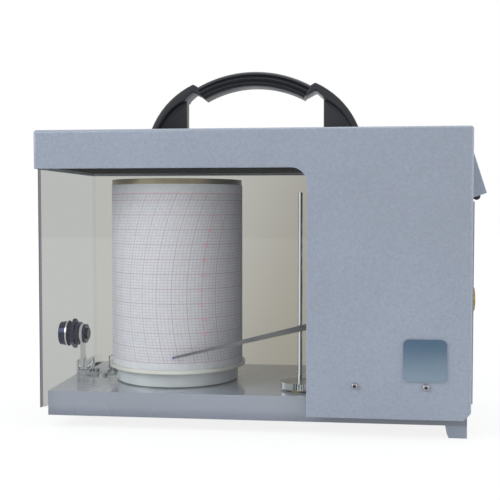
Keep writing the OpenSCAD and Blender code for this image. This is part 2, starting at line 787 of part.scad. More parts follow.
module lifter_knob() color("silver") placed() lifter_frame() difference() {
    union() {
        knurled(lifter_knob_d, lifter_knob_h, 48);
        translate([0, 0, -lifter_bush_l - 3]) cylinder(d = lifter_shaft_d, h = lifter_bush_l + 3);
    }
    translate([0, lifter_throw, lifter_knob_h - rod_seat + cut]) hole(lifter_rod_d, rod_seat);
}

module lifter_rod() color("silver") placed() lifter_frame()
    translate([0, lifter_throw, lifter_knob_h - rod_seat])
        cylinder(d = lifter_rod_d, h = lifter_h - lifter_flange_t - lifter_knob_h + rod_seat);

module lifter_clip() color("dimgray") placed() lifter_frame()
    translate([0, 0, -lifter_bush_l - 1 - 2 * lifter_play])
        ring(lifter_bush_d, lifter_shaft_d + 2 * seat_gap, 1);

// Outer form of the cover, rounded along its bends
module cover_block() {
    h = case_top - cover_bottom + bend_r;
    intersection() {
        translate([0, 0, cover_bottom - bend_r]) drawn_back(case_d) rounded(case_w, h, bend_r);
        translate([0, 0, cover_bottom - bend_r]) rotate([90, 0, 90]) linear_extrude(case_w)
            rounded(case_d, h, bend_r);
        translate([0, 0, cover_bottom]) linear_extrude(h) rounded(case_w, case_d, bend_r);
    }
}

// Opening for the panes, seen from the front, with a round upper right corner
module pane_opening() polygon(concat([[-cut, 0], [panel_x, 0]],
    arc([panel_x - panel_r, lip_z - panel_r], panel_r, 0, 90, 12), [[-cut, lip_z]]));

// Corner cut off the panels at the lower right
module corner_cut() polygon([[case_w - panel_chamfer, 0], [case_w + cut, 0],
    [case_w + cut, cover_bottom + panel_chamfer], [case_w, cover_bottom + panel_chamfer],
    [case_w - panel_chamfer, cover_bottom]]);

// Folded and welded sheet: top, lip all round, two panels and the vented right side
module cover_shell() color("lightsteelblue") placed() difference() {
    cover_block();
    block([sheet_t, sheet_t, 0], [case_w - sheet_t, case_d - sheet_t, case_top - sheet_t]);
    translate([0, -cut, 0]) drawn_back(case_d + 2 * cut) pane_opening();
    translate([0, -cut, 0]) drawn_back(case_d + 2 * cut) corner_cut();
    block([case_w - sheet_t - cut, vent_y0, guard_z0 + 10], [case_w + cut, case_d - vent_y0, guard_z1 - 8]);
    for (x = panel_screw_xs) translate([x, 0, panel_screw_z]) along_y() hole(panel_screw_d, case_d);
    for (x = handle_screw_xs) translate([x, case_mid, case_top - sheet_t]) hole(handle_screw_d, sheet_t);
    for (y = [thumb_y, case_d - thumb_y])
        translate([case_w - sheet_t, y, pen_z]) along_x() hole(thumb_screw_d, sheet_t);
}

// Clear pane along the front or the back
module long_pane(y) color("lightcyan", 0.4) placed()
    block([pane_in, y, pane_bottom], [panel_x + pane_tuck, y + pane_t, pane_top]);

module window_front() long_pane(pane_in);

module window_back() long_pane(case_d - pane_end);

module window_left() color("lightcyan", 0.4) placed() difference() {
    block([pane_in, pane_end + seat_gap, pane_bottom], [pane_end, case_d - pane_end - seat_gap, pane_top]);
    translate([pane_in, lock_y, lock_z]) along_x() hole(lock_d, pane_t);
}

// Strip between the panes and the sheet metal, along the lip and behind the panels' edges
module pane_seal() color("dimgray") placed() {
    for (y = [sheet_t, case_d - pane_in]) {
        block([sheet_t, y, lip_z + 2], [panel_x + pane_tuck, y + seal_t, pane_top]);
        block([panel_x + 2, y, pane_bottom], [panel_x + pane_tuck, y + seal_t, lip_z + 2]);
    }
    block([sheet_t, sheet_t, lip_z + 2], [pane_in, case_d - sheet_t, pane_top]);
}

// Clear strip on the left pane that stands on the base plate
module rest_strip() color("lightcyan", 0.4) placed()
    block([pane_end + seat_gap, cheek_y1 + 4, plate_z],
        [pane_end + 6, case_d - pane_end - 6, plate_z + 6]);

// Angle strip screwed inside the front panel; it stands on the base plate
module ledge() difference() {
    union() {
        block([ledge_x0, sheet_t, plate_z], [ledge_x1, sheet_t + ledge_t, plate_z + ledge_h]);
        block([ledge_x0, sheet_t, plate_z], [ledge_x1, sheet_t + ledge_reach, plate_z + ledge_t]);
    }
    for (x = panel_screw_xs) translate([x, sheet_t, panel_screw_z]) along_y() hole(panel_screw_d, ledge_t);
}

module ledges() color("gainsboro") placed() {
    ledge();
    translate([0, case_d, 0]) mirror([0, 1, 0]) ledge();
}

module panel_screws() color("silver") placed() for (x = panel_screw_xs) {
    translate([x, 0, panel_screw_z]) rotate([90, 0, 0]) screw(panel_screw_d, panel_head_d, 5);
    translate([x, case_d, panel_screw_z]) along_y() screw(panel_screw_d, panel_head_d, 5);
}

// Plain bare plate on the front panel
module badge_plate() color("cadetblue") placed() translate([badge_x, -badge_t, badge_z])
    drawn_back(badge_t) rounded(badge_w, badge_w, badge_r);

// Points on a smooth bend from one point to another, drawn towards a corner
function bend(p, c, q, n) = [for (i = [0:n]) let (t = i / n)
    (1 - t) * (1 - t) * p + 2 * t * (1 - t) * c + t * t * q];
function flipped(pts) = [for (i = [len(pts) - 1:-1:0]) [-pts[i][0], pts[i][1]]];

// Arc through the middle of the grip, from its right end to its left
function grip_arc(end, top, n) = let (rise = top - end[1], r = (end[0] * end[0] + rise * rise) / (2 * rise),
    a = asin(end[0] / r)) arc([0, top - r], r, 90 - a, 90 + a, n);

// Side view of the handle: two webbed legs, each ending in a step, and a thicker arched grip
module handle_outline() {
    leg = bend([handle_half, 0], leg_corner, leg_peak, 10);
    inner = [grip_low, leg_notch, [handle_gap / 2, leg_notch[1] - 4.6], [handle_gap / 2, 0]];
    under = grip_arc(grip_low, handle_h - grip_t, 24);
    polygon(concat(leg, grip_arc(leg_peak - [3, grip_step], handle_h, 24), flipped(leg), flipped(inner),
        [for (i = [len(under) - 2:-1:1]) under[i]], inner));
}

// Hollow at the front and back of the right leg, inside its outer band
module leg_hollow() polygon(concat(
    bend([handle_half - band_t, -cut], leg_corner - [band_t, band_t] * 0.8, leg_notch - [2, 3], 10),
    [[handle_gap / 2 - cut, -cut]]));

module handle() color("black") placed() difference() {
    translate([handle_x, case_mid - handle_d / 2, case_top]) difference() {
        drawn_back(handle_d) handle_outline();
        for (y = [-cut, handle_d / 2 + web_t / 2], s = [0, 1])
            translate([0, y, 0]) mirror([s, 0, 0]) drawn_back((handle_d - web_t) / 2 + cut) leg_hollow();
    }
    for (x = handle_screw_xs)
        translate([x, case_mid, case_top]) hole(handle_screw_d, handle_screw_l - sheet_t);
}

module handle_screws() color("silver") placed() for (x = handle_screw_xs)
    translate([x, case_mid, case_top - sheet_t]) rotate([180, 0, 0])
        screw(handle_screw_d, handle_head_d, handle_screw_l);

// Sloping hood over the side vent, open below
module side_hood() color("lightsteelblue") placed() difference() {
    translate([case_w, hood_y0, 0]) drawn_back(case_d - 2 * hood_y0)
        polygon([[0, hood_top], [hood_out, hood_tip_z], [0, hood_low]]);
    translate([case_w, hood_y0 + hood_t, 0]) drawn_back(case_d - 2 * hood_y0 - 2 * hood_t)
        polygon([[-cut, hood_top - 1.2], [0, hood_top - 4.2], [hood_out - 1.6, hood_tip_z + 0.6],
            [hood_out - 2.6, hood_tip_z - 5], [-cut, hood_low - 5]]);
}

// Round rubber buffers under the hood's ends
module hood_buffers() color("black") placed() for (y = [hood_y0 + 4, case_d - hood_y0 - 4])
    translate([case_w, y, hood_low + buffer_d / 2 - 0.5]) {
        along_x() cylinder(d = 0.7 * buffer_d, h = buffer_out);
        translate([buffer_out, 0, 0]) sphere(d = buffer_d);
    }

// Slotted pan over the vent
module side_guard() color("lightsteelblue") placed() difference() {
    block([case_w, guard_y0, guard_z0], [case_w + guard_out, case_d - guard_y0, guard_z1]);
    block([case_w - cut, guard_y0 + guard_t, guard_z0 + guard_t],
        [case_w + guard_out - guard_t, case_d - guard_y0 - guard_t, guard_z1 - guard_t]);
    for (z = [guard_z0 + 12:slot_step:guard_z1 - 14])
        block([case_w, vent_y0, z], [case_w + guard_out + cut, case_d - vent_y0, z + slot_h]);
    for (y = [thumb_y, case_d - thumb_y])
        translate([case_w, y, pen_z]) along_x() hole(thumb_screw_d, guard_out);
}

// Knurled thumb screws with their nuts inside the cover
module guard_screws() color("goldenrod") placed() for (y = [thumb_y, case_d - thumb_y])
    translate([case_w, y, pen_z]) along_x() {
        translate([0, 0, guard_out]) knurled(thumb_d, thumb_h, 36);
        translate([0, 0, -sheet_t - thumb_nut_t]) {
            cylinder(d = thumb_screw_d, h = guard_out + sheet_t + thumb_nut_t);
            cylinder(d = 2 * thumb_screw_d, h = thumb_nut_t, $fn = 6);
        }
    }

// Frame of the lock: Z runs along its barrel into the case
module lock_frame() translate([0, lock_y, lock_z]) along_x() children();

// Barrel with its bezel outside the pane
module lock_body() color("silver") placed() lock_frame() difference() {
    union() {
        translate([0, 0, x_left]) cylinder(d1 = bezel_d - 2, d2 = bezel_d, h = bezel_out);
        translate([0, 0, x_left]) cylinder(d = lock_d, h = lock_end - x_left);
    }
    translate([0, 0, x_left]) bore(plug_d, lock_end - x_left);
}

module lock_nut() color("gainsboro") placed() lock_frame() translate([0, 0, pane_end]) difference() {
    cylinder(d = lock_nut_af * 2 / sqrt(3), h = lock_nut_t, $fn = 6);
    hole(lock_d, lock_nut_t);
}

// Turning plug with a key slot outside; a disc and a slotted bolt hold the cam to its end
module lock_plug() color("gainsboro") placed() lock_frame() difference() {
    union() {
        translate([0, 0, x_left + 0.4]) cylinder(d = plug_d, h = cam_x - x_left - 0.4);
        cylinder(d = cam_bolt_d, h = cam_x + cam_t + 1);
        translate([0, 0, cam_x + cam_t]) cylinder(d = cam_disc_d, h = cam_t);
        translate([0, 0, cam_x + cam_t]) cylinder(d = 2 * cam_bolt_d, h = 3.6);
    }
    translate([-3.2, -0.5, x_left - cut]) cube([6.4, 1, 7]);
    translate([-cam_bolt_d - cut, -0.4, cam_x + cam_t + 2.4]) cube([2 * cam_bolt_d + 2 * cut, 0.8, 2]);
}

// Hanging cam with a cross pin at its end
module lock_cam() color("gainsboro") placed() translate([cam_x, lock_y, lock_z]) {
    pin_over = cheek_gap + cheek_t + 0.4;
    difference() {
        union() {
            along_x() cylinder(d = plug_d + 4, h = cam_t);
            rotate([90, 0, 90]) linear_extrude(cam_t) polygon([[-cam_w / 2, 0], [cam_w / 2, 0],
                [cam_w / 3, -cam_reach - cam_tail], [-cam_w / 3, -cam_reach - cam_tail]]);
        }
        along_x() hole(cam_bolt_d, cam_t);
    }
    translate([-pin_over, 0, -cam_reach]) along_x() cylinder(d = cam_pin_d, h = cam_t + 2 * pin_over);
}

base_tray();
foot(foot_spots[0], 0);  // foot_front_right
foot(foot_spots[1], 0);  // foot_rear_right
foot(foot_spots[2], 180);  // foot_left
foot_screws();
clock_housing();
clock_motor();
battery();
battery_clip();
motor_pinion();
drum_spindle();
spindle_nut();
drum_nut();
drum_flange();
drum_gear();
drum_shell();
drum_cap();
drum_bushes();
chart_paper();
chart_clip();
keeper();
drum_stop();
plate_screws();
frame_front();
frame_rear();
frame_pillars();
frame_screws();
axle_bush();
pen_axle();
pen_yoke();
balance_weight();
coil_collet();
bimetal_coil();
zero_knob();
gate_pin();
pen_arm();
pen_nib();
lifter_bush();
lifter_knob();
lifter_rod();
lifter_clip();
cover_shell();
window_front();
window_left();
window_back();
pane_seal();
rest_strip();
ledges();
panel_screws();
badge_plate();
handle();
handle_screws();
side_hood();
hood_buffers();
side_guard();
guard_screws();
lock_body();
lock_nut();
lock_plug();
lock_cam();
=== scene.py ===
import math

import bpy
from mathutils import Matrix, Vector


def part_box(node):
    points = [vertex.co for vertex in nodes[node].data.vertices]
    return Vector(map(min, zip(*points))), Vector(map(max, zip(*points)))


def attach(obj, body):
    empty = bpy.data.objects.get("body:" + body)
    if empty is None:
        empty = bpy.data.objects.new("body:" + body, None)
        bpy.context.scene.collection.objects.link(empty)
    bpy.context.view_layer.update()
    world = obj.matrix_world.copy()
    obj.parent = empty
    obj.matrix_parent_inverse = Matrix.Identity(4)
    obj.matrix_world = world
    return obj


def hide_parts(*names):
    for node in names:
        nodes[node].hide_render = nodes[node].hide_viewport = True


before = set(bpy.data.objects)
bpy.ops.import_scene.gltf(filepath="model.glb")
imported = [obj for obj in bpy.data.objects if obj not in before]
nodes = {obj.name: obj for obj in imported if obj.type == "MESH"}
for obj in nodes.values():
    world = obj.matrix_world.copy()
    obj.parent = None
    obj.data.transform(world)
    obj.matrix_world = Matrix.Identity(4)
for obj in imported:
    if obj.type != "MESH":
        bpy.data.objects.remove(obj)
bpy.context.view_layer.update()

# Camera: stands in front of the case and a little to its right, about level with the middle
# of the window, and looks slightly down and to the left, as the photograph does.
eye = bpy.data.objects.new("eye", bpy.data.cameras.new("eye"))
bpy.context.scene.collection.objects.link(eye)
eye.location = (0.0646, -0.637, 0.1452)
eye.rotation_euler = (math.radians(87.47), 0, math.radians(6.67))
eye.data.lens = 64.6
eye.data.sensor_width = 36
eye.data.clip_start = 0.01
bpy.context.scene.camera = eye
bpy.context.scene.view_settings.view_transform = "Standard"
bpy.context.scene.cycles.max_bounces = 32
bpy.context.scene.cycles.transmission_bounces = 32
bpy.context.scene.cycles.min_light_bounces = 6


# Room: a pale floor that fades into a white background, with soft light from the left front,
# a weaker lamp from the right and a little from above. None of it belongs to the instrument.
class Value:
    """A value in a finish. Sums written on it become Math nodes."""

    def __init__(self, owner, socket):
        self.owner, self.socket = owner, socket

    def sum(self, operation, *terms):
        return self.owner.node("ShaderNodeMath", {"operation": operation}, dict(enumerate(terms)))

    def __add__(self, other): return self.sum("ADD", self, other)
    def __radd__(self, other): return self.sum("ADD", other, self)
    def __sub__(self, other): return self.sum("SUBTRACT", self, other)
    def __rsub__(self, other): return self.sum("SUBTRACT", other, self)
    def __mul__(self, other): return self.sum("MULTIPLY", self, other)
    def __rmul__(self, other): return self.sum("MULTIPLY", other, self)
    def __truediv__(self, other): return self.sum("DIVIDE", self, other)
    def __pow__(self, other): return self.sum("POWER", self, other)
    def __gt__(self, other): return self.sum("GREATER_THAN", self, other)
    def __lt__(self, other): return self.sum("LESS_THAN", self, other)
    def __abs__(self): return self.sum("ABSOLUTE", self)
    def most(self, other): return self.sum("MAXIMUM", self, other)
    def least(self, other): return self.sum("MINIMUM", self, other)


class Finish:
    """The nodes of one material or of the room's light."""

    def __init__(self, block):
        block.use_nodes = True
        self.material, self.tree = block, block.node_tree

    def feed(self, socket, value):
        """Gives a socket a plain value, or links it to a varying one."""
        if isinstance(value, Value):
            self.tree.links.new(value.socket, socket)
        else:
            socket.default_value = value

    def node(self, kind, settings=None, sockets=None, output=0):
        added = self.tree.nodes.new(kind)
        for key, value in (settings or {}).items():
            setattr(added, key, value)
        for key, value in (sockets or {}).items():
            self.feed(added.inputs[key], value)
        return Value(self, added.outputs[output])

    def set(self, **sockets):
        """Feeds sockets of the shader, named with _ for a space."""
        for key, value in sockets.items():
            self.feed(self.shader[key.replace("_", " ")], value)

    def along(self, axis):
        """The place on one axis of the frame."""
        return self.node("ShaderNodeSeparateXYZ", {}, {0: self.place}, axis)

    def blend(self, share, first, second):
        sockets = {0: share, 6: first, 7: second}
        return self.node("ShaderNodeMix", {"data_type": "RGBA"}, sockets, 2)

    def fade(self, value, low, high, start=0.0, end=1.0):
        """Goes smoothly from start to end while the value goes from low to high."""
        sockets = {"Value": value, "From Min": low, "From Max": high,
                   "To Min": start, "To Max": end}
        return self.node("ShaderNodeMapRange", {"interpolation_type": "SMOOTHSTEP"}, sockets)

    def over(self, share, colour):
        """Lays a colour over the base colour where share is 1."""
        base = self.shader["Base Color"]
        under = tuple(base.default_value)
        if base.is_linked:
            under = Value(self, base.links[0].from_socket)
        self.feed(base, self.blend(share, under, colour))


def seen(made):
    """1 for what the camera sees, straight, mirrored or through a pane, and 0 for light."""
    camera, mirror, pane = (made.node("ShaderNodeLightPath", output=ray) for ray in
                            ("Is Camera Ray", "Is Glossy Ray", "Is Transmission Ray"))
    return camera.most(mirror).most(pane)


world = bpy.data.worlds.new("room")
bpy.context.scene.world = world
air = Finish(world)
sky = world.node_tree.nodes["Background"].inputs
white, room_light = (1, 1, 1, 1), 0.5
air.feed(sky["Color"], white)
air.feed(sky["Strength"], room_light + (1 - room_light) * seen(air))

floor_gap = 0.0003
bpy.ops.object.select_all(action="DESELECT")
bpy.ops.mesh.primitive_plane_add(size=8, location=(0, 0, -floor_gap))
floor = bpy.context.object
floor.name = "floor"
ground = Finish(bpy.data.materials.new("floor"))
surface = ground.tree.nodes["Material Output"].inputs["Surface"]
plain = ground.node("ShaderNodeBsdfDiffuse", {}, {"Color": (0.85, 0.85, 0.85, 1)})
glow = ground.node("ShaderNodeEmission", {}, {"Color": white, "Strength": 1.06})
spot = ground.node("ShaderNodeTexCoord", output="Object")
away = ground.node("ShaderNodeVectorMath", {"operation": "LENGTH"}, {0: spot}, "Value")
near_r, far_r, near_glow = 0.2, 0.75, 0.8
bright = ground.fade(away, near_r, far_r, near_glow) * seen(ground)
ground.feed(surface, ground.node("ShaderNodeMixShader", {}, {0: bright, 1: plain, 2: glow}))
floor.data.materials.append(ground.material)

aim, cool_white = Vector((0, 0, 0.1)), (0.96, 0.995, 1.035)
for name, place, size, power in (("lamp_left", (-1.6, -0.95, 0.95), 1.2, 22.5),
                                 ("lamp_right", (1.7, -0.35, 0.8), 1.0, 11),
                                 ("lamp_top", (0.1, 0.3, 1.7), 1.2, 8)):
    lamp = bpy.data.objects.new(name, bpy.data.lights.new(name, "AREA"))
    bpy.context.scene.collection.objects.link(lamp)
    lamp.location = place
    lamp.rotation_euler = (aim - Vector(place)).to_track_quat("-Z", "Y").to_euler()
    lamp.data.size, lamp.data.energy, lamp.data.color = size, power, cool_white


# Base tray and feet: a tray folded from sheet steel, its top the base plate, on three feet.
# Both wear the case's blue-grey stoved enamel, which dries to a fine, slightly mottled orange
# peel. The tray is the darker and glossier of the two.
def shade(red, green, blue):
    """A screen colour from 0 to 255, as the linear colour that the shader works in."""
    return tuple(((c / 255 + 0.055) / 1.055) ** 2.4 for c in (red, green, blue)) + (1,)


def finish(name, **sockets):
    made = Finish(bpy.data.materials.new(name))
    made.shader = made.tree.nodes["Principled BSDF"].inputs
    made.set(**sockets)
    made.place = made.node("ShaderNodeTexCoord", output="Object")
    return made


def noise(made, scale, detail, stretch=None):
    place = made.place
    if stretch:
        place = made.node("ShaderNodeMapping", {}, {"Vector": place, "Scale": stretch})
    return made.node("ShaderNodeTexNoise", {}, {"Vector": place, "Scale": scale, "Detail": detail})


def relief(made, height, strength, depth):
    sockets = {"Height": height, "Strength": strength, "Distance": depth}
    made.set(Normal=made.node("ShaderNodeBump", {}, sockets))


def wear(made, piece_names):
    for piece in piece_names:
        nodes[piece].data.materials.clear()
        nodes[piece].data.materials.append(made.material)


def enamel(name, colour, gloss, peel):
    made = finish(name, IOR=1.5)
    cloud, speck, skin = noise(made, 9, 3), noise(made, 900, 2), noise(made, 520, 1.5)
    deep, pale = (shade(*(c * lightness for c in colour)) for lightness in (0.965, 1.04))
    cloud_share, skin_share, speck_share = 0.6, 0.55, 0.35
    mottle = cloud_share * cloud + skin_share * peel * (skin - 0.5) + speck_share * speck
    made.set(Base_Color=made.blend(made.fade(mottle, 0.25, 0.75), deep, pale),
             Roughness=made.fade(cloud, 0.3, 0.7, gloss - 0.05, gloss + 0.06))
    peel_depth = 0.00035
    relief(made, skin + 0.4 * speck, peel, peel_depth)
    return made


tray_paint = enamel("tray_enamel", (116, 122, 134), 0.3, 0.05)
tray_paint.set(Coat_Weight=0.8, Coat_Roughness=0.06)
wear(tray_paint, ["base_tray"])
foot_paint = enamel("foot_enamel", (143, 151, 164), 0.42, 0.2)
wear(foot_paint, ["foot_front_right", "foot_rear_right", "foot_left"])


# Clock: a cream moulded cup stands on the plate with a painted shadow line round its foot, and the
# motor, its cell and the cell's holder hang under the plate. The pinion reaches up through both.
def moulded(name, colour, roughness, grain=0.08):
    made = finish(name, IOR=1.48)
    cloud = noise(made, 40, 3)
    deep = shade(*(c * 0.94 for c in colour))
    made.set(Base_Color=made.blend(made.fade(cloud, 0.3, 0.75), deep, shade(*colour)),
             Roughness=made.fade(cloud, 0.25, 0.75, roughness - 0.06, roughness + 0.08))
    grain_depth = 0.0002
    relief(made, noise(made, 1500, 2), grain, grain_depth)
    return made


cream = moulded("cream_moulding", (176, 181, 184), 0.36)
shadow_line_z, rim_z = 0.0251, 0.0254
# Painted shadow: the cup's lowest edge is darkened where it meets the plate.
cream.over(cream.fade(cream.along("Z"), shadow_line_z, rim_z, 1.0, 0.0), shade(70, 74, 74))
wear(cream, ["clock_housing"])

motor_case = moulded("motor_case", (38, 39, 42), 0.5, 0.2)
wear(motor_case, ["clock_motor", "battery_clip"])

sleeve = finish("cell_sleeve", Base_Color=shade(52, 54, 58), Roughness=0.3, IOR=1.5)
cell_x = sleeve.along("X")
cell_low, cell_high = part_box("battery")
sleeve_length, band_edge, stub_length, stub_edge = 0.034, 0.0005, 0.0016, 0.0003
band_x, stub_x = cell_low.x + sleeve_length, cell_high.x - stub_length
stub = sleeve.fade(cell_x, stub_x, stub_x + stub_edge)
sleeve.over(sleeve.fade(cell_x, band_x, band_x + band_edge), shade(190, 120, 52))
sleeve.over(stub, shade(196, 198, 200))
sleeve.set(Metallic=0.9 * stub)
wear(sleeve, ["battery"])


# Turned and cut metal: steel screws, nuts and spindles with fine tool marks, brass bushes and
# gears that have dulled a little, bright plated pieces, and plain aluminium sheet. The lock is
# dark chrome with a painted highlight ring where it stands on the left pane.
def metal(name, colour, roughness, marks=(1, 1, 30), dulled=0.12):
    made = finish(name, Metallic=1.0)
    cloud, lines = noise(made, 60, 4), noise(made, 90, 2, marks)
    dull = shade(*(c * (1 - dulled) for c in colour))
    worn = cloud + 0.6 * lines
    made.set(Base_Color=made.blend(made.fade(cloud, 0.35, 0.8), shade(*colour), dull),
             Roughness=made.fade(worn, 0.4, 1.1, roughness * 0.75, roughness * 1.3))
    mark_strength, mark_depth = 0.04, 0.0002
    relief(made, lines, mark_strength, mark_depth)
    return made


steel = metal("plain_steel", (186, 188, 192), 0.34)
wear(steel, ["foot_screws", "spindle_nut", "drum_spindle", "plate_screws", "frame_pillars",
             "frame_screws", "pen_axle", "gate_pin", "lifter_clip", "handle_screws", "chart_clip"])
brass = metal("turned_brass", (184, 162, 88), 0.3, (1, 1, 24), 0.2)
wear(brass, ["motor_pinion", "drum_nut", "drum_gear", "drum_bushes", "axle_bush", "pen_yoke",
             "balance_weight", "coil_collet", "zero_knob", "lifter_bush", "guard_screws"])
sheet = metal("sheet_aluminium", (190, 193, 196), 0.4, (30, 1, 1))
wear(sheet, ["frame_front", "frame_rear", "ledges", "drum_cap"])
plated = metal("bright_plate", (214, 216, 220), 0.1, (1, 1, 6), 0.05)
wear(plated, ["lifter_rod", "lock_cam", "keeper", "drum_stop"])
nickel = metal("dull_nickel", (156, 159, 160), 0.26, (1, 1, 6), 0.1)
wear(nickel, ["lifter_knob"])
dark_chrome = metal("dark_chrome", (62, 64, 88), 0.16, (1, 1, 6), 0.1)
# Painted highlight: a bright band round the lock body at the pane's face, in place of a glint.
highlight_half, highlight_edge = 0.0005, 0.0002
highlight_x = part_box("window_left")[0].x - highlight_half
off_highlight = abs(dark_chrome.along("X") - highlight_x)
painted_highlight = dark_chrome.fade(off_highlight, highlight_half, highlight_half + highlight_edge, 1.0, 0.0)
dark_chrome.over(painted_highlight, shade(226, 228, 234))
wear(dark_chrome, ["lock_body", "lock_nut", "lock_plug"])

# Bimetal coil: one strip wound round the pen's axle, copper-coloured on its outer face and steel
# on its inner face, so that it unwinds as it warms.
strip = finish("bimetal_strip", Base_Color=shade(170, 174, 180), Metallic=1.0, Roughness=0.32)
axle_x, axle_z, copper_r = 0.116, 0.086, 0.00805
from_axle = ((strip.along("X") - axle_x) ** 2 + (strip.along("Z") - axle_z) ** 2) ** 0.5
strip.over(from_axle > copper_r, shade(190, 128, 84))
wear(strip, ["bimetal_coil"])

# Drum: a dull olive metal tube on a cream moulded flange. It turns once a week on the spindle,
# and its chart is held by a spring bar at the back.
tube = metal("drum_tube", (128, 122, 100), 0.38, (1, 1, 40), 0.2)
wear(tube, ["drum_shell"])
flange_cream = moulded("flange_moulding", (181, 181, 174), 0.36)
wear(flange_cream, ["drum_flange"])

# Chart: bluish-white paper printed with a fine grid. The level lines are 2 mm apart, stronger each
# 10 mm; the time lines are arcs of the pen arm's length about the height of the pen's axle.
paper = finish("chart_print", Roughness=0.75, IOR=1.4)
axis_x, paper_r, arm = -0.0625, 0.0467, 0.1755
east, north, level = (paper.along(axis) for axis in "XYZ")
turn = north.sum("ARCTAN2", north, east - axis_x)
rise = level - axle_z
bow = arm - (arm * arm - rise * rise) ** 0.5
first_turn, bold_times, fine_times = math.radians(5.8), 28, 112
time = (turn - first_turn) * paper_r - bow
chart_length = 2 * math.pi * paper_r
first_z, top_z, level_gap, bold_gap = 0.0421, 0.1566, 0.002, 0.01
print_low, print_high = 0.0419, 0.1569
line_width, fine_ink, bold_ink = 0.0003, 0.46, 0.5
fibre_strength, fibre_depth = 0.05, 0.0001


def inked(distance):
    """1 on a line and 0 off it, by the distance from its middle."""
    return paper.fade(distance, line_width / 2, line_width, 1.0, 0.0)


def ruled(value, gap):
    """Lines at every multiple of the gap."""
    phase = value / gap + 0.5
    return inked(abs(phase.sum("FRACT", phase) - 0.5) * gap)


printed = (level > print_low) * (level < print_high)
fine = ruled(time, chart_length / fine_times).most(ruled(level - first_z, level_gap))
bold = ruled(time, chart_length / bold_times).most(ruled(level - first_z, bold_gap))
fibre = noise(paper, 300, 3)
paper.set(Base_Color=paper.blend(paper.fade(fibre, 0.3, 0.8),
                                 shade(166, 168, 173), shade(174, 176, 181)))
paper.over(fine_ink * (fine * printed), shade(138, 120, 130))
paper.over(bold_ink * (bold * printed), shade(136, 98, 110))
paper.over(bold_ink * inked(abs(level - top_z)), shade(186, 92, 98))
relief(paper, fibre, fibre_strength, fibre_depth)
wear(paper, ["chart_paper"])


# Chart numbers: the level scale, printed in pale red along one time line on each half of the chart.
# Each number is a flat letter form laid on the paper's curve.
def only(*pieces):
    bpy.ops.object.select_all(action="DESELECT")
    for piece in pieces:
        piece.select_set(True)
    bpy.context.view_layer.objects.active = pieces[0]


def joined(name, pieces):
    only(*pieces)
    bpy.ops.object.join()
    bpy.context.object.name = name
    return bpy.context.object


number_z, number_size, ink_lift = 0.0615, 0.0034, 0.00004
first_number, number_step, number_count = -30, 10, 9
ink_r = paper_r + ink_lift
number_turns = (math.radians(-58.5), math.radians(121.5))
numbers = []
for column in number_turns:
    for step in range(number_count):
        z = number_z + bold_gap * step
        bpy.ops.object.select_all(action="DESELECT")
        bpy.ops.object.text_add()
        label = bpy.context.object
        label.data.body = str(first_number + number_step * step)
        label.data.size = number_size
        label.data.align_x, label.data.align_y = "CENTER", "CENTER"
        bpy.ops.object.convert(target="MESH")
        label = bpy.context.object
        shift = arm - math.sqrt(arm * arm - (z - axle_z) ** 2)
        for corner in label.data.vertices:
            angle = column + (corner.co.x + shift) / paper_r
            corner.co = (axis_x + ink_r * math.cos(angle), ink_r * math.sin(angle), z + corner.co.y)
        numbers.append(label)
chart_numbers = joined("chart_numbers", numbers)
red_ink = finish("red_ink", Roughness=0.7)
tone = noise(red_ink, 900, 2)
red_ink.set(Base_Color=red_ink.blend(tone, shade(196, 104, 112), shade(214, 140, 146)))
chart_numbers.data.materials.append(red_ink.material)
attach(chart_numbers, "drum")

# Pen: a satin grey blade on a gate hinge, which lets the lifter's rod push it off the chart,
# with a violet fibre tip that stops just off the paper.
blade = metal("pen_blade", (106, 107, 109), 0.48, (40, 1, 1))
wear(blade, ["pen_arm"])
fibre_tip = moulded("fibre_tip", (78, 66, 128), 0.6, 0.2)
wear(fibre_tip, ["pen_nib"])


# Cover: top, lip, panels and vented side folded from sheet steel and welded, in the same enamel
# as the tray but lighter and with a coarser orange peel. The hood and the guard on the right side
# are separate pans, and the hood's enamel is painted lighter to stand in for light falling on it.
# The folds are eased, because bent sheet never has a sharp corner.
def eased(piece_names, width):
    same_place = 0.00001
    for piece in piece_names:
        stack = nodes[piece].modifiers
        stack.new("weld", "WELD").merge_threshold = same_place
        flat = stack.new("flat", "DECIMATE")
        flat.decimate_type, flat.angle_limit = "DISSOLVE", math.radians(0.5)
        edge = stack.new("edge", "BEVEL")
        edge.width, edge.segments, edge.harden_normals = width, 3, True
        edge.limit_method, edge.angle_limit = "ANGLE", math.radians(40)
        edge.use_clamp_overlap = False


cover_paint = enamel("cover_enamel", (153, 161, 175), 0.36, 0.9)
wear(cover_paint, ["cover_shell", "side_guard"])
# Painted light: the hood wears a lighter copy of the cover's enamel, to look more brightly lit.
lit_hood_paint = enamel("lit_hood_enamel", (163, 171, 184), 0.36, 0.9)
wear(lit_hood_paint, ["side_hood"])
fold_width = 0.0005
eased(["cover_shell", "side_hood"], fold_width)
buffer_rubber = moulded("buffer_rubber", (30, 31, 34), 0.6, 0.15)
wear(buffer_rubber, ["hood_buffers"])


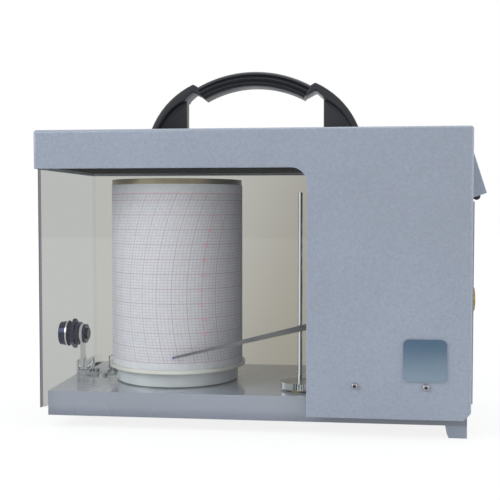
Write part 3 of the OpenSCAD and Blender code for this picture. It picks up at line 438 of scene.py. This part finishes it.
# Panes: acrylic sheets fixed inside the cover with a dark foam strip. The front one is clear, with
# a painted dark line along its left edge that stands in for the edge's refraction. The side and
# back ones are tinted for the pale room that the photograph shows through them, but clear behind
# the lip and where the back one runs behind the side one's end.
def acrylic(name, colour, outward, light=None):
    """A pane of one colour that is glossy on its outward face and lets light by in another."""
    made = finish(name, Base_Color=colour, Roughness=0.0, IOR=1.0, Transmission_Weight=1.0,
                  Coat_IOR=1.45, Coat_Roughness=0.02)
    normal = made.node("ShaderNodeNewGeometry", output="Normal")
    outer = made.node("ShaderNodeVectorMath", {"operation": "DOT_PRODUCT"},
                      {0: normal, 1: outward}, "Value")
    gloss, faces_out = 0.5, 0.5
    made.set(Coat_Weight=gloss * (outer > faces_out))
    surface = made.tree.nodes["Material Output"].inputs["Surface"]
    body = Value(made, made.tree.nodes["Principled BSDF"].outputs[0])
    bare = made.node("ShaderNodeBsdfTransparent", {}, {"Color": light or colour})
    shadow = made.node("ShaderNodeLightPath", output="Is Shadow Ray")
    made.feed(surface, made.node("ShaderNodeMixShader", {}, {0: shadow, 1: body, 2: bare}))
    return made


clear_tint, edge_shade_tint, edge_shade_depth = (0.93, 0.935, 0.925, 1), (0.15, 0.14, 0.17, 1), 0.001
clear_pane = acrylic("clear_pane", clear_tint, (0, -1, 0))
# Painted shade: the pane's leftmost millimetre is tinted dark, in place of the light its edge bends
# away.
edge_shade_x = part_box("window_front")[0].x + edge_shade_depth
clear_pane.over(clear_pane.along("X") < edge_shade_x, edge_shade_tint)
wear(clear_pane, ["window_front"])
wear(acrylic("clear_strip", clear_tint, (-1, 0, 0)), ["rest_strip"])

lip_z, side_tint, side_light = 0.1725, (0.5, 0.51, 0.495, 1), (0.8, 0.81, 0.8, 1)
side_pane = acrylic("side_pane", side_tint, (-1, 0, 0), side_light)
side_pane.over(side_pane.along("Z") > lip_z, clear_tint)
wear(side_pane, ["window_left"])

back_tint, back_light = (0.5, 0.5, 0.47, 1), (0.84, 0.83, 0.79, 1)
yellow_tint, yellow_from, yellow_to, yellow_slant = (0.33, 0.31, 0.26, 1), -0.13, 0.02, 0.4
back_pane = acrylic("back_pane", back_tint, (0, 1, 0), back_light)
pane_x, pane_y, pane_z = (back_pane.along(axis) for axis in "XYZ")
back_pane.over(back_pane.fade(pane_x - yellow_slant * pane_z, yellow_from, yellow_to), yellow_tint)
side_x, back_y, sight_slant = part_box("window_left")[1].x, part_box("window_back")[0].y, 0.3
from_end = pane_x - side_x + sight_slant * (pane_y - back_y)
back_pane.over((pane_z > lip_z).most(from_end < 0), clear_tint)
wear(back_pane, ["window_back"])

foam = moulded("foam_strip", (78, 83, 90), 0.8, 0.4)
wear(foam, ["pane_seal"])


# Panel screws: plated button heads with a round socket painted dark as shade, two on each metal
# panel.
# They hold the inner ledges that the cover stands on.
def pick(piece, up):
    """Selects the flat faces that look up, or down with -1."""
    flat = 0.999
    bpy.ops.mesh.select_all(action="DESELECT")
    bpy.ops.object.mode_set(mode="OBJECT")
    for face in piece.data.polygons:
        face.select = face.normal.z * up > flat
    bpy.ops.object.mode_set(mode="EDIT")


def draw_down(rim, depth):
    """Leaves a rim on the picked face and moves what is inside it down."""
    bpy.ops.mesh.inset(thickness=rim, depth=0)
    bpy.ops.mesh.extrude_region_move(TRANSFORM_OT_translate={"value": (0, 0, -depth)})


screw_low, screw_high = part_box("panel_screws")
head_r, head_h, head_round, panel_y = 0.0021, 0.0018, 0.0008, 0.066
socket_rim, socket_depth, shank_rim, shank_length = 0.0003, 0.0011, 0.001, 0.005
left_x, right_x = screw_low.x + head_r, screw_high.x - head_r
screw_z = (screw_low.z + screw_high.z) / 2
crease = math.radians(35)
heads = []
for x in (left_x, right_x):
    for side in (-1, 1):
        bpy.ops.object.select_all(action="DESELECT")
        bpy.ops.mesh.primitive_cylinder_add(vertices=32, radius=head_r, depth=head_h,
                                            location=(0, 0, head_h / 2))
        head = bpy.context.object
        bpy.ops.object.transform_apply()
        bpy.ops.object.mode_set(mode="EDIT")
        bpy.ops.mesh.select_mode(type="FACE")
        pick(head, 1)
        bpy.ops.mesh.bevel(offset=head_round, segments=4, affect="EDGES")
        pick(head, 1)
        draw_down(socket_rim, socket_depth)
        pick(head, -1)
        draw_down(shank_rim, shank_length)
        bpy.ops.object.mode_set(mode="OBJECT")
        head.data.transform(Matrix.Rotation(math.radians(-90 * side), 4, "X"))
        head.data.transform(Matrix.Translation((x, panel_y * side, screw_z)))
        bpy.ops.object.shade_smooth_by_angle(angle=crease)
        heads.append(head)
panel_heads = joined("panel_heads", heads)
screw_plate = metal("screw_plate", (160, 160, 166), 0.2, (1, 1, 8), 0.1)
plate_x, plate_z = screw_plate.along("X"), screw_plate.along("Z")
aside = abs(plate_x - left_x).least(abs(plate_x - right_x))
off_axis = (aside ** 2 + (plate_z - screw_z) ** 2) ** 0.5
socket_shade_r, socket_shade_edge = 0.0009, 0.0002
# Painted shade: the socket's hollow is coloured dark and non-metal.
socket = screw_plate.fade(off_axis, socket_shade_r, socket_shade_r + socket_shade_edge, 1.0, 0.0)
screw_plate.over(socket, shade(38, 40, 46))
screw_plate.set(Metallic=1.0 - socket)
panel_heads.data.materials.append(screw_plate.material)
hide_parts("panel_screws")
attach(panel_heads, "cover")

# Badge: a small rounded plate that lies flat on the front panel. It is left bare, in a glossy
# teal lacquer that pales downwards.
badge = finish("badge_lacquer", Roughness=0.22, IOR=1.5, Coat_Weight=0.4)
badge_low, badge_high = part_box("badge_plate")
drift = 0.006
lift = badge.along("Z") + drift * noise(badge, 50, 2)
upper = badge.fade(lift, badge_low.z + drift / 2, badge_high.z + drift / 2)
badge.set(Base_Color=badge.blend(upper, shade(122, 142, 158), shade(58, 92, 118)))
wear(badge, ["badge_plate"])

# Handle: moulded in near-black plastic, two webbed legs screwed to the lid from below and a thicker
# arched grip between them with two grooves along each side.
handle_low, handle_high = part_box("handle")
grip_half, leg_round, same_place = 0.0398, 0.0009, 0.000002
sag_share, sag_more = 0.19, 0.0018
sag = sag_share * (handle_high.z - handle_low.z) + sag_more
arc_r = (grip_half ** 2 + sag ** 2) / (2 * sag)
hub = Vector(((handle_low.x + handle_high.x) / 2, 0, handle_high.z - arc_r))
half_turn = math.asin(grip_half / arc_r)
parts = []
for side in (-1, 1):
    leg = bpy.data.objects.new("leg", nodes["handle"].data.copy())
    bpy.context.scene.collection.objects.link(leg)
    only(leg)
    bpy.ops.mesh.customdata_custom_splitnormals_clear()
    bpy.ops.object.mode_set(mode="EDIT")
    bpy.ops.mesh.select_mode(type="EDGE")
    bpy.ops.mesh.select_all(action="SELECT")
    bpy.ops.mesh.remove_doubles(threshold=same_place)
    across = Vector((side * math.cos(half_turn), 0, -math.sin(half_turn)))
    bpy.ops.mesh.bisect(plane_co=hub, plane_no=across, use_fill=True, clear_inner=True)
    bpy.ops.mesh.select_all(action="SELECT")
    bpy.ops.mesh.dissolve_limited(angle_limit=math.radians(1))
    bpy.ops.mesh.select_all(action="DESELECT")
    bpy.ops.mesh.edges_select_sharp(sharpness=crease)
    bpy.ops.mesh.bevel(offset=leg_round, segments=3, affect="EDGES")
    bpy.ops.object.mode_set(mode="OBJECT")
    parts.append(leg)

half_y, half_r, squareness, grip_rise = 0.0121, 0.0052, 0.42, 0.0002
groove_r, groove_half, groove_depth = 0.0016, 0.0009, 0.0012
mid_r = arc_r + grip_rise - half_r
bpy.ops.object.select_all(action="DESELECT")
bpy.ops.mesh.primitive_circle_add(vertices=96, radius=1, fill_type="NGON")
grip = bpy.context.object
for corner in grip.data.vertices:
    angle = math.atan2(corner.co.y, corner.co.x)
    wide, tall = math.cos(angle), math.sin(angle)
    y = half_y * math.copysign(abs(wide) ** squareness, wide)
    r = half_r * math.copysign(abs(tall) ** squareness, tall)
    for groove in (-groove_r, groove_r):
        if abs(wide) > 0.5:
            y -= math.copysign(groove_depth * max(0, 1 - ((r - groove) / groove_half) ** 2), y)
    out = mid_r + r
    corner.co = (hub.x - out * math.sin(half_turn), y, hub.z + out * math.cos(half_turn))
only(grip)
bpy.ops.object.mode_set(mode="EDIT")
bpy.ops.mesh.select_all(action="SELECT")
bpy.ops.mesh.spin(steps=40, angle=-2 * half_turn, center=hub, axis=(0, 1, 0))
bpy.ops.mesh.select_all(action="SELECT")
bpy.ops.mesh.normals_make_consistent(inside=False)
bpy.ops.object.mode_set(mode="OBJECT")
parts.append(grip)
carrying_handle = joined("carrying_handle", parts)
bpy.ops.object.shade_smooth_by_angle(angle=crease)
black = moulded("handle_moulding", (32, 33, 38), 0.4, 0.2)
carrying_handle.data.materials.clear()
carrying_handle.data.materials.append(black.material)
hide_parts("handle")
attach(carrying_handle, "cover")
